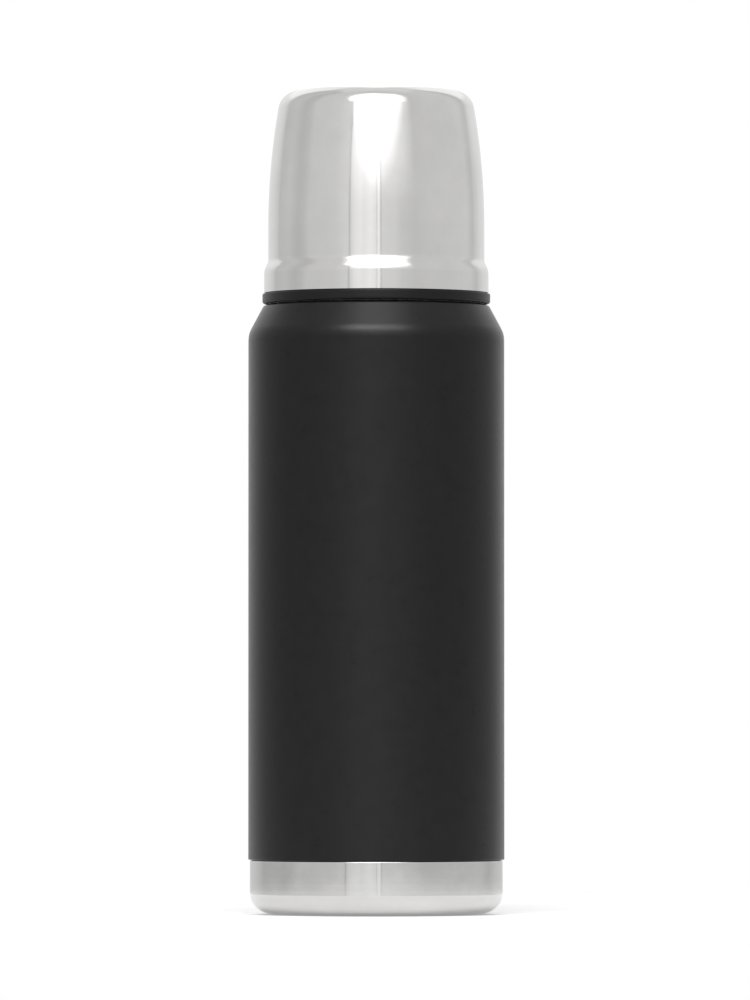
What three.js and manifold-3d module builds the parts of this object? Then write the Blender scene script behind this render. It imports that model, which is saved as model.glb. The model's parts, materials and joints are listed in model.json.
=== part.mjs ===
// A 750 ml vacuum flask: a double-walled steel bottle with a pour-through stopper and a screw-on cup.
// Millimetres, +Z up. The origin is the centre of the standing face, and +Z is the axis that every
// turned piece shares. -Y is the front, where the stopper pours.
import * as THREE from "three";
import { mergeVertices } from "three/addons/utils/BufferGeometryUtils.js";
import Module from "manifold-3d";

const wasm = await Module();
wasm.setup();

// Driving dimensions.
const HEIGHT = 270.8; // standing face to the top of the cup
const BODY_R = 42; // coated shell
const BASE_R = 41.5; // bare steel band under it
const BAND_TOP = 18; // height of the bare band
const STANDING_R = 30; // inner edge of the ring that the flask stands on
const BASE_PANEL_Z = 2.5; // raised panel inside that ring
const SHOULDER_LOW = 190.4; // where the straight wall and the shoulder cone would meet
const SHOULDER_TOP = 199.7;
const SHOULDER_TOP_R = 37;
const NECK_TOP = 212.6; // where the neck starts to close in to the mouth's lip
const LIP_LOW = 216;
const SKIRT_R = 37; // threaded end of the cup
const CUP_R = 35.65; // cup above its step
const MOUTH_TOP = 222.4; // rolled lip of the mouth
const MOUTH_R = 28; // bore of the threaded mouth
const THROAT_R = 24.5; // bore under the stopper's seat
const SEAT_Z = 201; // ledge that the stopper's gasket rests on
const LINER_R = 36.7; // bore of the inner vessel
const LINER_LOW = 14.5;
const VESSEL_TOP = 184; // where the vessel's wall turns in to the throat
const THROAT_LOW = 195.5;
const SHEET = 0.5; // steel wall
const PLASTIC = 1.8; // moulded wall
const GAP = 0.3; // clearance between neighbouring pieces

// Facets.
const ROUND = 28; // round a wide turned piece
const NARROW = 16; // round one that fits inside the flow tube or the button's well
const CHORD_ERROR = 0.3; // furthest a rounded corner's chords stray from its arc

// Screw threads: ridge height, widths across the ridge, rise per turn.
const CUP_THREAD = { pitch: 4, turns: 1, height: 1, foot: 2.2, tip: 0.8 };
const STOPPER_THREAD = { pitch: 5, turns: 1.25, height: 0.7, foot: 2.2, tip: 0.9 };
const NECK_R = MOUTH_R + 4.6; // outside of the neck, under the cup's thread
const COLLAR_BORE_R = NECK_R + 2 * CUP_THREAD.height + 0.5;
const PLUG_R = MOUTH_R - 2 * STOPPER_THREAD.height - 0.5;
const CUP_THREAD_LOW = SHOULDER_TOP + 4.6;
const STOPPER_THREAD_LOW = SEAT_Z + 8.5;
const EMBED = 0.3; // depth of a ridge's foot in its wall

// Cup.
const RING_LOW = 200.3; // black ring under the cup's steel skirt
const RING_TOP = 203.6;
const RING_R = 37.4;
const COLLAR_TOP = 210.3;
const STEP_LOW = 211.4; // step between the skirt and the cup's wall
const STEP_HIGH = 214.4;
const WALL_CURVE_LOW = 225.6; // where the cup's wall starts to lean in
const WALL_CURVE_R = 230;
const WALL_LEAN = THREE.MathUtils.degToRad(9.8);
const CUP_CORNER_R = 7;
const CUP_PANEL_R = 22; // panel sunk in the cup's top
const CUP_PANEL_DEEP = 1.2;

// Stopper.
const PLUG_LOW = 204.6; // shoulder over the gasket
const NOSE_R = 23.6;
const NOSE_LOW = 192.5; // valve seat
const NOSE_FLOOR = NOSE_LOW + 2;
const FLOW_R = 12.4; // bore of the flow tube
const FLANGE_LOW = MOUTH_TOP + GAP;
const FLANGE_TOP = FLANGE_LOW + 2.5;
const FLANGE_R = 28.6;
const FOAM_TOP = FLANGE_LOW - 1.2;
const GRIP_R = 31.6;
const GRIP_TOP = 238.8;
const WELL_R = 11.6; // well that the button slides in
const WELL_FLOOR = 233;
const STEM_R = 2;
const BUTTON_TOP = 243.8;
const BUTTON_UNDERSIDE = 241;
const DISC_TOP = 190.2;

function material(color, roughness, metalness = 0) {
  return new THREE.MeshStandardMaterial({ color, roughness, metalness });
}
const MATERIALS = {
  polishedSteel: material(0xc9c9c7, 0.2, 1),
  drawnSteel: material(0xa9aaa8, 0.4, 1),
  blackCoat: material(0x1f1f1f, 0.55),
  blackPlastic: material(0x1c1c1c, 0.5),
  greyPlastic: material(0x4a4c4e, 0.5),
  silicone: material(0xb9bcbd, 0.7),
  springSteel: material(0x9a9a98, 0.35, 1),
  copper: material(0xb87048, 0.3, 1),
  foam: material(0xe3dcc4, 0.95),
  getterAlloy: material(0x55534f, 0.8, 0.6),
  sealGlass: material(0x2f4a3c, 0.2),
};

// An outline from [radius, height, fillet] corners, each fillet an arc between the two sides at its corner.
function rounded(corners) {
  return corners.flatMap(([r, z, fillet], i) => {
    const corner = new THREE.Vector2(r, z);
    if (!fillet) return [corner];
    const back = new THREE.Vector2(...corners[i - 1]).sub(corner).normalize();
    const ahead = new THREE.Vector2(...corners[i + 1]).sub(corner).normalize();
    const half = Math.acos(back.dot(ahead)) / 2;
    const middle = back.clone().add(ahead).normalize().multiplyScalar(fillet / Math.sin(half)).add(corner);
    const from = back.multiplyScalar(fillet / Math.tan(half)).add(corner).sub(middle);
    const turn = Math.sign(from.cross(corner.clone().sub(middle))) * (Math.PI - 2 * half);
    const widest = 2 * Math.acos(Math.max(0.7, 1 - CHORD_ERROR / fillet));
    const steps = Math.max(1, Math.round(Math.abs(turn) / widest));
    return Array.from({ length: steps + 1 }, (_, k) =>
      from.clone().rotateAround(new THREE.Vector2(), (turn * k) / steps).add(middle),
    );
  });
}

// Points of a quarter ellipse that ends level, for the bottom corner of the base.
function quarterEllipse(centreR, centreZ, wide, high, steps) {
  return Array.from({ length: steps + 1 }, (_, k) => {
    const a = ((Math.PI / 2) * k) / steps;
    return new THREE.Vector2(centreR + wide * Math.cos(a), centreZ - high * Math.sin(a));
  });
}

// The closed outline of a pressed sheet: its face, and the same face set back to the left of its travel.
function sheet(face, wall = SHEET) {
  const side = (a, b) => {
    const along = b.clone().sub(a).normalize();
    return new THREE.Vector2(-along.y, along.x);
  };
  const back = face.map((p, i) => {
    const before = i > 0 ? side(face[i - 1], p) : side(p, face[i + 1]);
    const after = i < face.length - 1 ? side(p, face[i + 1]) : before;
    const mean = before.clone().add(after).normalize();
    return mean.multiplyScalar(wall / mean.dot(before)).add(p);
  });
  return [...face, ...back.reverse()];
}

// An outline turned about Z. One that starts and ends on the axis is open there, and any other closes
// on itself.
function lathe(outline, facets = ROUND) {
  const onAxis = outline[0].x === 0 && outline.at(-1).x === 0;
  const inward = THREE.ShapeUtils.area(outline) < 0;
  const points = inward ? [...outline].reverse() : [...outline];
  if (!onAxis) points.push(points[0].clone());
  return new THREE.LatheGeometry(points, facets).rotateX(Math.PI / 2);
}
function turned(corners, facets) {
  return lathe(rounded(corners), facets);
}
function pressed(face, wall) {
  return lathe(sheet(face, wall));
}

// A section of [radius, height] points swept round Z along a helix, with both ends closed.
function helix(sectionAt, pitch, turns, low, perTurn = ROUND) {
  const steps = Math.round(turns * perTurn);
  const sides = sectionAt(0).length;
  const position = [];
  const index = [];
  for (let i = 0; i <= steps; i++) {
    const angle = (2 * Math.PI * i) / perTurn;
    for (const [r, z] of sectionAt(i / steps)) {
      position.push(r * Math.sin(angle), -r * Math.cos(angle), low + z + (pitch * i) / perTurn);
    }
    for (let j = 0; i < steps && j < sides; j++) {
      const [a, b] = [i * sides + j, i * sides + ((j + 1) % sides)];
      index.push(a, a + sides, b, b, a + sides, b + sides);
    }
  }
  for (let j = 1; j < sides - 1; j++) {
    index.push(0, j, j + 1, steps * sides, steps * sides + j + 1, steps * sides + j);
  }
  const geometry = new THREE.BufferGeometry();
  geometry.setAttribute("position", new THREE.Float32BufferAttribute(position, 3));
  return geometry.setIndex(index);
}

// A thread ridge on a wall of radius wallR, outwards or inwards, fading in and out over its end eighths.
function ridge({ pitch, turns, height, foot, tip }, wallR, low, outwards) {
  const way = outwards ? 1 : -1;
  const sectionAt = (t) => {
    const fade = Math.min(1, 8 * t, 8 * (1 - t));
    const [deep, proud] = [wallR - way * EMBED, wallR + way * height * fade];
    const section = [[deep, -foot / 2], [proud, -tip / 2], [proud, tip / 2], [deep, foot / 2]];
    return outwards ? section : section.reverse();
  };
  return helix(sectionAt, pitch, turns, low);
}

// A closed geometry as a manifold-3d solid, and back.
function solid(geometry) {
  const bare = new THREE.BufferGeometry().setAttribute("position", geometry.getAttribute("position"));
  const merged = mergeVertices(bare.setIndex(geometry.index), 1e-3);
  return new wasm.Manifold(
    new wasm.Mesh({
      numProp: 3,
      vertProperties: merged.attributes.position.array,
      triVerts: new Uint32Array(merged.index.array),
    }),
  );
}
function geometryOf(made) {
  const { vertProperties, triVerts } = made.getMesh();
  return new THREE.BufferGeometry()
    .setAttribute("position", new THREE.BufferAttribute(vertProperties, 3))
    .setIndex(new THREE.BufferAttribute(triVerts, 1));
}
function joined(base, ...others) {
  return others.reduce((made, other) => made.add(solid(other)), solid(base));
}
function box(width, depth, low, high, y = 0) {
  return new THREE.BoxGeometry(width, depth, high - low).translate(0, y, (low + high) / 2);
}

const flask = new THREE.Group();
const stopper = new THREE.Group();
const cup = new THREE.Group();
function place(group, name, geometry, finish) {
  const mesh = new THREE.Mesh(geometry, finish);
  mesh.name = name;
  group.add(mesh);
  return mesh;
}

// The bottle's outer wall. Its lower end is stepped in to take the base cup, and its neck carries the
// cup's thread.
function outerShell() {
  const endR = BASE_R - SHEET - GAP;
  const lipR = MOUTH_R + 2.8;
  const face = rounded([
    [endR, 8],
    [endR, BAND_TOP],
    [BODY_R, BAND_TOP, 0.5],
    [BODY_R, SHOULDER_LOW, 11],
    [SHOULDER_TOP_R, SHOULDER_TOP, 0.8],
    [NECK_R, SHOULDER_TOP, 0.9],
    [NECK_R, NECK_TOP],
    [lipR, LIP_LOW],
    [lipR, MOUTH_TOP - SHEET - GAP],
  ]);
  const thread = ridge(CUP_THREAD, NECK_R, CUP_THREAD_LOW, true);
  return geometryOf(joined(pressed(face), thread));
}

// The polished steel cover pressed over the shell's stepped end. It stands on a flat ring round a
// raised panel.
function baseCup() {
  const [cornerWide, cornerHigh, cornerSteps] = [9, 6.56, 5];
  const panelR = STANDING_R - 1.4;
  const face = [
    new THREE.Vector2(BASE_R, BAND_TOP - GAP),
    ...quarterEllipse(BASE_R - cornerWide, cornerHigh, cornerWide, cornerHigh, cornerSteps),
    ...rounded([
      [BASE_R - cornerWide - 1, 0],
      [STANDING_R, 0, 0.8],
      [panelR, BASE_PANEL_Z, 0.8],
      [0, BASE_PANEL_Z],
    ]).slice(1),
  ].reverse();
  return pressed(face);
}

// The disc that closes the vacuum space under the shell, with a pocket over its pump-out hole.
const DISC_LOW = 7.6;
function outerBottom() {
  const rimR = BASE_R - 2 * SHEET - 2 * GAP;
  const [holeR, pocketR, pocketTop] = [1.2, 7, DISC_LOW + 2.2];
  const face = rounded([
    [holeR, pocketTop],
    [pocketR, pocketTop, 1],
    [pocketR + 2, DISC_LOW, 1],
    [rimR, DISC_LOW, 2],
    [rimR, 14],
  ]);
  return pressed(face);
}

// The glass bead that seals the pump-out hole.
function vacuumSeal() {
  const [low, high] = [DISC_LOW + 0.2, DISC_LOW + 1.9];
  return turned([[0, low], [5.2, low, 0.6], [6, high, 0.4], [0, high]], NARROW);
}

// A gas-absorbing pill on the closing disc, held by a bent strap.
const GETTER_X = 18;
const GETTER_LOW = DISC_LOW + SHEET + 0.4;
function getter() {
  const [pillR, thick] = [4.5, 2.4];
  const pill = new THREE.CylinderGeometry(pillR, pillR, thick, 18).rotateX(Math.PI / 2);
  return pill.translate(GETTER_X, 0, GETTER_LOW + thick / 2);
}
function getterClip() {
  const [foot, leg, rise, thick, width] = [8.5, 5.2, 3.1, 0.4, 3.4];
  const strip = new THREE.Shape();
  strip.moveTo(-foot, 0);
  strip.lineTo(-leg, 0);
  strip.lineTo(-leg, rise - thick);
  strip.lineTo(leg, rise - thick);
  strip.lineTo(leg, 0);
  strip.lineTo(foot, 0);
  strip.lineTo(foot, thick);
  strip.lineTo(leg + thick, thick);
  strip.lineTo(leg + thick, rise);
  strip.lineTo(-leg - thick, rise);
  strip.lineTo(-leg - thick, thick);
  strip.lineTo(-foot, thick);
  strip.closePath();
  const bent = new THREE.ExtrudeGeometry(strip, { depth: width, bevelEnabled: false });
  return bent.translate(0, 0, -width / 2).rotateX(Math.PI / 2).translate(GETTER_X, 0, GETTER_LOW);
}

// The copper foil wrapped round the vessel, open at its seam.
function heatShield() {
  const [innerR, thick, low, high, seam] = [LINER_R + SHEET + GAP, 0.2, 28, 178, 0.05];
  const wrap = new THREE.Shape();
  wrap.absarc(0, 0, innerR + thick, seam, 2 * Math.PI - seam, false);
  wrap.absarc(0, 0, innerR, 2 * Math.PI - seam, seam, true);
  const options = { depth: high - low, bevelEnabled: false, curveSegments: ROUND / 2 };
  const foil = new THREE.ExtrudeGeometry(wrap, options);
  return foil.translate(0, 0, low);
}

// The inner vessel's wall, seat, threaded mouth and rolled lip, and the dished cap that closes its foot.
function innerLiner() {
  const lipR = MOUTH_R + 3.7;
  const face = rounded([
    [LINER_R, LINER_LOW],
    [LINER_R, VESSEL_TOP, 10],
    [THROAT_R, THROAT_LOW, 5],
    [THROAT_R, SEAT_Z, 1],
    [MOUTH_R, SEAT_Z, 1],
    [MOUTH_R, MOUTH_TOP, 1.4],
    [lipR, MOUTH_TOP, 0.8],
    [lipR, MOUTH_TOP - 1.8],
  ]);
  const thread = ridge(STOPPER_THREAD, MOUTH_R, STOPPER_THREAD_LOW, false);
  return geometryOf(joined(pressed(face, -SHEET), thread));
}
function linerBottom() {
  const [rimR, domeZ, low] = [LINER_R - GAP, 15, 12.6];
  return pressed(rounded([
    [0, domeZ], [14, domeZ, 5], [24, low, 5], [rimR, low, 2.5], [rimR, LINER_LOW + 3.5],
  ]));
}

place(flask, "outer_shell", outerShell(), MATERIALS.blackCoat);
place(flask, "base_cup", baseCup(), MATERIALS.polishedSteel);
place(flask, "outer_bottom", outerBottom(), MATERIALS.drawnSteel);
place(flask, "vacuum_seal", vacuumSeal(), MATERIALS.sealGlass);
place(flask, "getter", getter(), MATERIALS.getterAlloy);
place(flask, "getter_clip", getterClip(), MATERIALS.drawnSteel);
place(flask, "heat_shield", heatShield(), MATERIALS.copper);
place(flask, "inner_liner", innerLiner(), MATERIALS.drawnSteel);
place(flask, "liner_bottom", linerBottom(), MATERIALS.drawnSteel);

// The stopper's lower moulding: threaded plug, nose, flow tube, and the three-armed guide for the stem.
function stopperHousing() {
  const [tubeR, tubeTop] = [FLOW_R + PLASTIC, FLANGE_LOW + 1.3];
  const [bossR, guideLow, guideHigh] = [STEM_R + 2.4, 196, 203];
  const body = turned([
    [FLOW_R, NOSE_LOW],
    [NOSE_R, NOSE_LOW, 0.8],
    [NOSE_R, PLUG_LOW],
    [PLUG_R, PLUG_LOW, 0.4],
    [PLUG_R, FLANGE_LOW],
    [FLANGE_R, FLANGE_LOW],
    [FLANGE_R, FLANGE_TOP],
    [PLUG_R - PLASTIC, FLANGE_TOP],
    [PLUG_R - PLASTIC, PLUG_LOW + PLASTIC],
    [NOSE_R - PLASTIC, PLUG_LOW + PLASTIC],
    [NOSE_R - PLASTIC, NOSE_FLOOR],
    [tubeR, NOSE_FLOOR],
    [tubeR, tubeTop],
    [FLOW_R, tubeTop],
  ]);
  const boss = turned([
    [STEM_R + GAP, guideLow], [bossR, guideLow], [bossR, guideHigh], [STEM_R + GAP, guideHigh],
  ], NARROW);
  const [armStart, armEnd] = [bossR - 1, FLOW_R + 1];
  const arms = [0, 1, 2].map((k) => {
    const arm = box(PLASTIC, armEnd - armStart, guideLow + 1, guideHigh - 1, (armStart + armEnd) / 2);
    return arm.rotateZ((2 * Math.PI * k) / 3);
  });
  const thread = ridge(STOPPER_THREAD, PLUG_R, STOPPER_THREAD_LOW + STOPPER_THREAD.pitch / 2, true);
  return geometryOf(joined(body, thread, boss, ...arms));
}

// The insulating foam between the plug's wall and the flow tube, and the plate welded over it.
function insulationFoam() {
  const clearance = PLASTIC + GAP;
  const [innerR, noseR, plugR] = [FLOW_R + clearance, NOSE_R - clearance, PLUG_R - clearance];
  const [low, step] = [NOSE_FLOOR + GAP, PLUG_LOW + clearance];
  return turned([
    [innerR, low], [noseR, low], [noseR, step], [plugR, step], [plugR, FOAM_TOP], [innerR, FOAM_TOP],
  ]);
}
function foamCover() {
  const [innerR, plugR] = [FLOW_R + PLASTIC + GAP, PLUG_R - PLASTIC - GAP];
  const low = FOAM_TOP + GAP;
  return turned([[innerR, low], [plugR, low], [plugR, low + 2], [innerR, low + 2]]);
}

// The stopper's upper moulding: fluted grip, button well, pouring slot with its lip, and air slot.
function stopperTop() {
  const skirtR = FLANGE_R + GAP;
  const [chamberR, chamberLow] = [26.4, FLANGE_TOP + 1.6];
  const [wellOuterR, floorLow, glandR] = [WELL_R + PLASTIC, WELL_FLOOR - 2.5, STEM_R + 2.4];
  const [slotLow, slotHigh] = [FLANGE_TOP + 2.1, FLANGE_TOP + 5.7];
  const [flutes, fluteR, fluteDepth, cutterLong] = [18, 3, 0.8, 40];
  let made = solid(turned([
    [skirtR, FLANGE_LOW + GAP],
    [GRIP_R, FLANGE_LOW + GAP, 0.6],
    [GRIP_R, GRIP_TOP, 2.2],
    [15, GRIP_TOP + 1.2],
    [WELL_R, GRIP_TOP + 1.2, 0.6],
    [WELL_R, WELL_FLOOR],
    [glandR, WELL_FLOOR],
    [glandR, WELL_FLOOR - 1.7],
    [STEM_R + GAP, WELL_FLOOR - 1.7],
    [STEM_R + GAP, floorLow],
    [wellOuterR, floorLow, 1],
    [wellOuterR, GRIP_TOP - 1.2],
    [chamberR, GRIP_TOP - 2.4, 2],
    [chamberR, chamberLow],
    [skirtR, chamberLow],
  ]));
  for (let k = 0; k < flutes; k++) {
    const angle = (2 * Math.PI * (k + 0.5)) / flutes;
    const offset = GRIP_R + fluteR - fluteDepth;
    const cutter = new THREE.CylinderGeometry(fluteR, fluteR, cutterLong, 12).rotateX(Math.PI / 2);
    const middleZ = slotHigh + 1.4 + cutterLong / 2;
    cutter.translate(offset * Math.sin(angle), -offset * Math.cos(angle), middleZ);
    made = made.subtract(solid(cutter));
  }
  const [lipRootR, lipEndR, lipWide] = [skirtR + 0.6, GRIP_R + 1.8, 18];
  const lip = new THREE.Shape();
  lip.moveTo(lipRootR, slotLow - 1.4);
  lip.lineTo(GRIP_R, slotLow - 1.4);
  lip.lineTo(lipEndR, slotLow + 0.3);
  lip.lineTo(lipEndR, slotLow + 0.9);
  lip.lineTo(lipRootR, slotLow + 0.2);
  const spout = new THREE.ExtrudeGeometry(lip, { depth: lipWide, bevelEnabled: false });
  spout.translate(0, 0, -lipWide / 2).rotateX(Math.PI / 2).rotateZ(-Math.PI / 2);
  const slotMiddle = (chamberR + GRIP_R) / 2;
  const slot = box(16, 12, slotLow, slotHigh, -slotMiddle - 1);
  const vent = box(8, 10, slotLow + 0.2, slotHigh - 0.4, slotMiddle);
  return geometryOf(made.add(solid(spout)).subtract(solid(slot)).subtract(solid(vent)));
}

// Soft rings: under the top moulding, round the plug's shoulder, and round the stem.
function ring(innerR, outerR, low, high, chamfer, facets = ROUND) {
  const outline = [
    [innerR, low + chamfer], [innerR + chamfer, low], [outerR - chamfer, low], [outerR, low + chamfer],
    [outerR, high - chamfer], [outerR - chamfer, high], [innerR + chamfer, high], [innerR, high - chamfer],
  ];
  return turned(outline, facets);
}
function housingSeal() {
  return ring(26.7, FLANGE_R - 0.1, FLANGE_TOP + GAP, FLANGE_TOP + 1.3, 0.3);
}
function stopperGasket() {
  return ring(NOSE_R + GAP + 0.1, PLUG_R + 0.5, SEAT_Z + GAP, PLUG_LOW - GAP, 1);
}
function stemSeal() {
  return ring(STEM_R + GAP, STEM_R + 2.1, WELL_FLOOR - 1.4, WELL_FLOOR, 0.4, NARROW);
}

// The coil spring between the well's floor and the button.
function valveSpring() {
  const [coilR, wireR, turns, sides] = [7, 0.4, 3.5, 6];
  const [low, high] = [WELL_FLOOR + GAP + wireR, BUTTON_UNDERSIDE - GAP - wireR];
  const section = Array.from({ length: sides }, (_, k) => {
    const a = (2 * Math.PI * k) / sides;
    return [coilR + wireR * Math.cos(a), wireR * Math.sin(a)];
  });
  return helix(() => section, (high - low) / turns, turns, low, NARROW);
}

// What the button moves: the cap, the stem, and the disc with its seal and nut under the valve seat.
function pushButton() {
  const [capR, socketR] = [WELL_R - 0.4, STEM_R + 1.4];
  return turned([
    [0, BUTTON_TOP - 1.4],
    [6, BUTTON_TOP - 1],
    [capR - 1.4, BUTTON_TOP],
    [capR, BUTTON_TOP, 0.8],
    [capR, WELL_FLOOR + 4.6],
    [capR - 1.4, WELL_FLOOR + 4.6],
    [capR - 1.4, BUTTON_UNDERSIDE],
    [socketR, BUTTON_UNDERSIDE],
    [socketR, BUTTON_UNDERSIDE - 2.8],
    [STEM_R + GAP, BUTTON_UNDERSIDE - 2.8],
    [STEM_R + GAP, BUTTON_UNDERSIDE + 0.3],
    [0, BUTTON_UNDERSIDE + 0.3],
  ], NARROW);
}
function valveStem() {
  const collarLow = DISC_TOP + GAP;
  return turned([
    [0, DISC_TOP - 4.8], [STEM_R, DISC_TOP - 4.8], [STEM_R, collarLow], [5.6, collarLow],
    [5.6, collarLow + 1.3], [STEM_R, collarLow + 2.3], [STEM_R, BUTTON_UNDERSIDE], [0, BUTTON_UNDERSIDE],
  ], NARROW);
}
function valveDisc() {
  const low = DISC_TOP - 1.9;
  return turned([
    [STEM_R + GAP, low], [12, low], [15.5, low + 1], [15.5, DISC_TOP], [STEM_R + GAP, DISC_TOP],
  ], NARROW);
}
function valveSeal() {
  return ring(6, 15.8, DISC_TOP + GAP, NOSE_LOW - GAP, 0.4, NARROW);
}
function valveNut() {
  const [cornerR, thick, low] = [4.6, 2.2, DISC_TOP - 4.4];
  const nut = new THREE.Shape();
  for (let k = 0; k < 6; k++) {
    const a = (k * Math.PI) / 3;
    nut[k ? "lineTo" : "moveTo"](cornerR * Math.cos(a), cornerR * Math.sin(a));
  }
  nut.closePath();
  nut.holes.push(new THREE.Path().absarc(0, 0, STEM_R + GAP, 0, 2 * Math.PI, true));
  const options = { depth: thick, bevelEnabled: false, curveSegments: 9 };
  return new THREE.ExtrudeGeometry(nut, options).translate(0, 0, low);
}

place(stopper, "stopper_housing", stopperHousing(), MATERIALS.blackPlastic);
place(stopper, "insulation_foam", insulationFoam(), MATERIALS.foam);
place(stopper, "foam_cover", foamCover(), MATERIALS.blackPlastic);
place(stopper, "stopper_top", stopperTop(), MATERIALS.blackPlastic);
place(stopper, "housing_seal", housingSeal(), MATERIALS.silicone);
place(stopper, "stopper_gasket", stopperGasket(), MATERIALS.silicone);
place(stopper, "stem_seal", stemSeal(), MATERIALS.silicone);
place(stopper, "valve_spring", valveSpring(), MATERIALS.springSteel);
place(stopper, "push_button", pushButton(), MATERIALS.greyPlastic);
place(stopper, "valve_stem", valveStem(), MATERIALS.greyPlastic);
place(stopper, "valve_disc", valveDisc(), MATERIALS.greyPlastic);
place(stopper, "valve_seal", valveSeal(), MATERIALS.silicone);
place(stopper, "valve_nut", valveNut(), MATERIALS.drawnSteel);

// The cup's drawn steel shell. Its top is a standing ring round a sunk panel, for when it is used as a cup.
function cupShell() {
  const leanZ = WALL_CURVE_LOW + WALL_CURVE_R * Math.tan(WALL_LEAN / 2);
  const topR = CUP_R - (HEIGHT - leanZ) * Math.tan(WALL_LEAN);
  const face = rounded([
    [SKIRT_R, RING_TOP + GAP],
    [SKIRT_R, STEP_LOW, 5],
    [CUP_R, STEP_HIGH, 5],
    [CUP_R, leanZ, WALL_CURVE_R],
    [topR, HEIGHT, CUP_CORNER_R],
    [CUP_PANEL_R, HEIGHT, 1],
    [CUP_PANEL_R - 1.4, HEIGHT - CUP_PANEL_DEEP, 1],
    [0, HEIGHT - CUP_PANEL_DEEP],
  ]);
  return pressed(face);
}

// The moulded collar inside the skirt: the black ring, the washer's groove and the cup's thread.
function cupCollar() {
  const [grooveR, grooveTop, outerR] = [COLLAR_BORE_R + 0.8, RING_LOW + 2.2, SKIRT_R - SHEET - GAP];
  const body = turned([
    [grooveR, RING_LOW],
    [RING_R, RING_LOW, 0.9],
    [RING_R, RING_TOP, 0.4],
    [outerR, RING_TOP],
    [outerR, COLLAR_TOP, 0.3],
    [COLLAR_BORE_R, COLLAR_TOP, 0.3],
    [COLLAR_BORE_R, grooveTop],
    [grooveR, grooveTop],
  ]);
  const thread = ridge(CUP_THREAD, COLLAR_BORE_R, grooveTop + 1.6, false);
  return geometryOf(joined(body, thread));
}
function cupWasher() {
  return ring(NECK_R + CUP_THREAD.height + 0.35, COLLAR_BORE_R + 0.5, RING_LOW, RING_LOW + 1.9, 0.3);
}

place(cup, "cup_shell", cupShell(), MATERIALS.polishedSteel);
place(cup, "cup_collar", cupCollar(), MATERIALS.blackPlastic);
place(cup, "cup_washer", cupWasher(), MATERIALS.silicone);

const vacuumFlask = new THREE.Group();
vacuumFlask.add(flask, stopper, cup);
export default vacuumFlask;
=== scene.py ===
"""A 750 ml vacuum flask in a white studio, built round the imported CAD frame.

Turned pieces are outlines of (radius, height) in millimetres, turned about the flask's axis into meshes
in metres. Sizes come from the frame, and what a node's box can't tell is a named value here.
"""

import json
import math

import bmesh
import bpy
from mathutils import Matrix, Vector

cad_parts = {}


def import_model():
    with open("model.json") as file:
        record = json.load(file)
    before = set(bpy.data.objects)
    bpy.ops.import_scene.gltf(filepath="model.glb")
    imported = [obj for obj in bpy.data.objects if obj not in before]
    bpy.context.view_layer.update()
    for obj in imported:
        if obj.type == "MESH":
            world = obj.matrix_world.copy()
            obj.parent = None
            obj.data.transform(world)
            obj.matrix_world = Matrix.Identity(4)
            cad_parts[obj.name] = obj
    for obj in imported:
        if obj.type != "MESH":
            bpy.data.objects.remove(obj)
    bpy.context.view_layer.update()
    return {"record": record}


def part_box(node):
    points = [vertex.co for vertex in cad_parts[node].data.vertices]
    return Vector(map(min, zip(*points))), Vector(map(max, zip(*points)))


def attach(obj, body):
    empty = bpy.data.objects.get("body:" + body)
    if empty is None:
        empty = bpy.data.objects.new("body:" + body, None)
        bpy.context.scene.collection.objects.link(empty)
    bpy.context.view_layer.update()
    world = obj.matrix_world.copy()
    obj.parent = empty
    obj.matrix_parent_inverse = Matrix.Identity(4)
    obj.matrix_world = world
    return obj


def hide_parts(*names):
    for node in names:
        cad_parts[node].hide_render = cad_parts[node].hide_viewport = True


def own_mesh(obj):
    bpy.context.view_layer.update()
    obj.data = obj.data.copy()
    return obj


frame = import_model()

MM = 0.001
TAU = 2 * math.pi


def radius(node):
    """A turned CAD node's outer radius, in millimetres."""
    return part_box(node)[1].x / MM


def bottom(node):
    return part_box(node)[0].z / MM


def top(node):
    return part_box(node)[1].z / MM


# ------------------------------------------------------------------ sizes
GAP = 0.3  # clearance between neighbours
SHEET = 0.5  # steel wall
PLASTIC = 1.8  # moulded wall

BODY_R = radius("outer_shell")
BASE_R = radius("base_cup")
BAND_TOP = top("base_cup") + GAP
LINER_R = radius("inner_liner") - SHEET
LINER_LOW = bottom("inner_liner")
MOUTH_TOP = top("inner_liner")
SHIELD_R = radius("heat_shield")
DISC_LOW = bottom("outer_bottom")

SKIRT_R = radius("cup_shell")
CUP_LOW = bottom("cup_shell")
CUP_TOP = top("cup_shell")
RING_R = radius("cup_collar")
RING_LOW = bottom("cup_collar")
COLLAR_TOP = top("cup_collar")

PLUG_FLANGE_R = radius("stopper_housing")
FLANGE_TOP = top("stopper_housing")
FLANGE_LOW = MOUTH_TOP + GAP
NOSE_LOW = bottom("stopper_housing")
NOSE_FLOOR = NOSE_LOW + 2
FOAM_TOP = top("insulation_foam")
GRIP_R = radius("stopper_top")
CROWN_TOP = top("stopper_top")
WELL_FLOOR = top("stem_seal")
BUTTON_R = radius("push_button")
BUTTON_TOP = top("push_button")
BUTTON_LOW = bottom("push_button")
BUTTON_UNDERSIDE = top("valve_stem")
DISC_TOP = top("valve_disc")
SPRING_LOW = bottom("valve_spring")
SPRING_TOP = top("valve_spring")

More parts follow.
